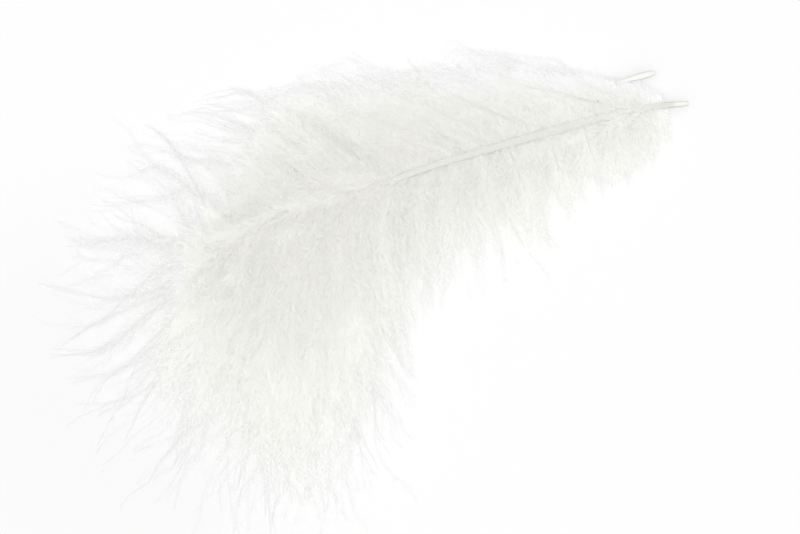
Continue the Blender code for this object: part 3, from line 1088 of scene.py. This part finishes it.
class FEATHER_OT_down(bpy.types.Operator):
    """Builds the down of both sides, the fan past the tip and the down that lies over the shaft"""

    bl_idname = "feather.down"
    bl_label = "Down"

    def execute(self, context):
        settings = context.scene.feather_down
        rng = np.random.default_rng(settings.seed)
        # Two copies of the down, one with painted cool light at its rim and one with painted warm light.
        cool = down_material("marabou down with painted cool light", settings, settings.upper_rim_painted_light)
        warm = down_material("marabou down with painted warm light", settings, settings.lower_rim_painted_light)
        for name, table, count, material, parts in (
            ("upper_down", UPPER_TIPS, 260, cool, ("quill", "middle", "tip")),
            ("lower_down", LOWER_TIPS, 370, warm, ("quill", "near", "middle", "far", "tip")),
        ):
            long_share = UPPER_LONG if table is UPPER_TIPS else LOWER_LONG
            lines = vane_lines(rng, table, count, long_share)
            for part, some in zip(parts, np.array_split(lines, len(parts))):
                down_piece(f"{name}_{part}", rng, some, settings, material)
        roots, tips, leaves = roots_and_tips(rng, FAN_TIPS, 50)
        lines = barb_lines(rng, roots, tips, leaves, (0.5, 8.0), (0.2, 4.6), 9.0, 0.9, 0.1, 0.8)
        down_piece("fan_down", rng, lines, settings, cool, 0.14, 1.5)
        roots, tips, leaves = roots_and_tips(rng, BUNDLE_TIPS, 40)
        lines = barb_lines(rng, roots, tips, leaves, (4.0, 9.0), (0.2, 4.0), 5.0, 0.95, 0.3, 0.6)
        down_piece("lower_bundle", rng, lines, settings, warm, 0.22, 1.3)
        down_piece("placed_down", rng, placed_lines(rng, PLACED_STRANDS, False), settings, warm, 0.16, 0.8)
        down_piece("rim_tufts", rng, placed_lines(rng, RIM_TUFTS, False), settings, cool, 0.2, 0.8)
        bare = mark_material("bare barb", (0.8, 0.8, 0.77), (0.88, 0.88, 0.85))
        down_piece("bare_barbs", rng, placed_lines(rng, BARE_STRANDS, True), settings, bare, 0.0, 0.0, True)
        count = 150
        roots = np.sort(rng.uniform(0.07, 0.6, count))
        side = np.where(rng.random(count) < 0.5, -1.0, 1.0)
        turn = side * np.radians(rng.uniform(30, 60, count))
        tips = on_shaft(roots)[:, :2] + plan(shaft_heading(roots) + turn, rng.uniform(4, 7, count))
        heights = on_shaft(0.3)[2] + np.array(((-1.8, -0.4), (-2.5, 0.2)))
        lines = barb_lines(rng, roots, tips, 0 * roots, *heights, 6.0, 1.0, 0.2)
        down_piece("shaft_down", rng, lines, settings, cool)
        count = 120
        roots = np.sort(rng.uniform(0.57, 0.98, count))
        turn = np.radians(rng.normal(0, 32, count))
        reach = rng.uniform(9, 22, count)
        tips = on_shaft(roots)[:, :2] + plan(shaft_heading(roots) + turn, reach)
        lines = barb_lines(rng, roots, tips, 0 * roots, (9.0, 12.5), (3.0, 7.5), 6.0, 0.0)
        down_piece("covering_down", rng, lines, settings, warm)
        return {"FINISHED"}


class FEATHER_OT_marks(bpy.types.Operator):
    """Builds the dark length of barb near the shaft's tip and the specks held in the down"""

    bl_idname = "feather.marks"
    bl_label = "Marks"

    def execute(self, context):
        lines = smooth_path(DARK_DASH, 6)[None]
        t = np.linspace(0, 1, lines.shape[1])
        radii = DASH_RADIUS * np.sqrt(np.maximum(4 * (t - t**2), 0.02))[None]
        dark = mark_material("dark barb", (0.64, 0.64, 0.61), (0.72, 0.72, 0.68))
        self.piece("dark_dash", lines, radii, dark, "down")
        t = np.linspace(0, 1, 9)
        start = np.array(SPECKS)[:, None, :]
        sizes = np.array(SPECK_RADII)[:, None]
        lines = start + (t[None, :, None] - 0.5) * np.array((2.2, 0.8, 0.3)) * sizes[..., None]
        radii = sizes * np.sqrt(np.maximum(4 * (t - t**2), 0.02))[None]
        dirt = mark_material("speck", (0.56, 0.55, 0.5), (0.66, 0.65, 0.6))
        self.piece("specks", lines, radii, dirt, None)
        return {"FINISHED"}

    def piece(self, name, lines, radii, material, slot):
        along, across, up = frames(lines)
        points = tube_points(lines, across, up, radii, 8)
        uvs = np.zeros(points.shape[:-1] + (2,))
        uvs[..., 0] = np.linspace(0, 1, lines.shape[1])[None, :, None]
        triangles = tube_triangles(len(lines), lines.shape[1], 8)
        mesh_piece(name, points.reshape(-1, 3), triangles, uvs.reshape(-1, 2), material)


class FEATHER_OT_stage(bpy.types.Operator):
    """Builds the floor, the lights and the camera"""

    bl_idname = "feather.stage"
    bl_label = "Stage"

    def execute(self, context):
        settings = context.scene.feather_stage
        scene = context.scene
        mesh = bpy.data.meshes.new("floor")
        half = 3.0
        mesh.from_pydata([(-half, -half, 0), (half, -half, 0), (half, half, 0), (-half, half, 0)], [], [(0, 1, 2, 3)])
        floor = bpy.data.objects.new("floor", mesh)
        mesh.materials.append(floor_material(settings))
        scene.collection.objects.link(floor)
        world = bpy.data.worlds.new("studio")
        world.use_nodes = True
        sky = world.node_tree.nodes["Background"]
        sky.inputs["Color"].default_value = (1, 1, 1, 1)
        sky.inputs["Strength"].default_value = settings.sky
        scene.world = world
        key = bpy.data.lights.new("key", "AREA")
        key.shape = "DISK"
        key.size = 0.5
        key.energy = settings.key
        lamp = bpy.data.objects.new("key", key)
        lamp.location = (-BOX_MIDDLE[0] * MM, -BOX_MIDDLE[1] * MM, 1.6)
        scene.collection.objects.link(lamp)
        photo_width, photo_scale = 800, 6.0
        lens_height, focus_height = 0.7, 0.004
        camera_data = bpy.data.cameras.new("camera")
        camera_data.sensor_width = 36.0
        camera_data.lens = 36.0 * (lens_height - focus_height) / (photo_width / photo_scale * MM)
        camera_data.clip_start = 0.01
        camera = bpy.data.objects.new("camera", camera_data)
        camera.location = (-BOX_MIDDLE[0] * MM, -BOX_MIDDLE[1] * MM, lens_height)
        scene.collection.objects.link(camera)
        scene.camera = camera
        scene.view_settings.view_transform = "Standard"
        scene.view_settings.look = "None"
        scene.cycles.max_bounces = 24
        scene.cycles.diffuse_bounces = 16
        return {"FINISHED"}


class FEATHER_PT_panel(bpy.types.Panel):
    """Lists the feather's builders and their settings"""

    bl_idname = "FEATHER_PT_panel"
    bl_label = "Marabou feather"
    bl_space_type = "VIEW_3D"
    bl_region_type = "UI"
    bl_category = "Feather"

    def draw(self, context):
        layout = self.layout
        for operator, settings in (
            ("feather.shaft", context.scene.feather_shaft),
            ("feather.down", context.scene.feather_down),
            ("feather.stage", context.scene.feather_stage),
        ):
            box = layout.box()
            box.operator(operator)
            for name in settings.__annotations__:
                box.prop(settings, name)
        layout.operator("feather.marks")


CLASSES = (
    DownSettings,
    ShaftSettings,
    StageSettings,
    FEATHER_OT_shaft,
    FEATHER_OT_down,
    FEATHER_OT_marks,
    FEATHER_OT_stage,
    FEATHER_PT_panel,
)


def register():
    for cls in CLASSES:
        bpy.utils.register_class(cls)
    bpy.types.Scene.feather_down = bpy.props.PointerProperty(type=DownSettings)
    bpy.types.Scene.feather_shaft = bpy.props.PointerProperty(type=ShaftSettings)
    bpy.types.Scene.feather_stage = bpy.props.PointerProperty(type=StageSettings)


def unregister():
    del bpy.types.Scene.feather_stage
    del bpy.types.Scene.feather_shaft
    del bpy.types.Scene.feather_down
    for cls in reversed(CLASSES):
        bpy.utils.unregister_class(cls)


def main():
    register()
    bpy.ops.feather.shaft()
    bpy.ops.feather.down()
    bpy.ops.feather.marks()
    bpy.ops.feather.stage()


if __name__ == "__main__":
    main()
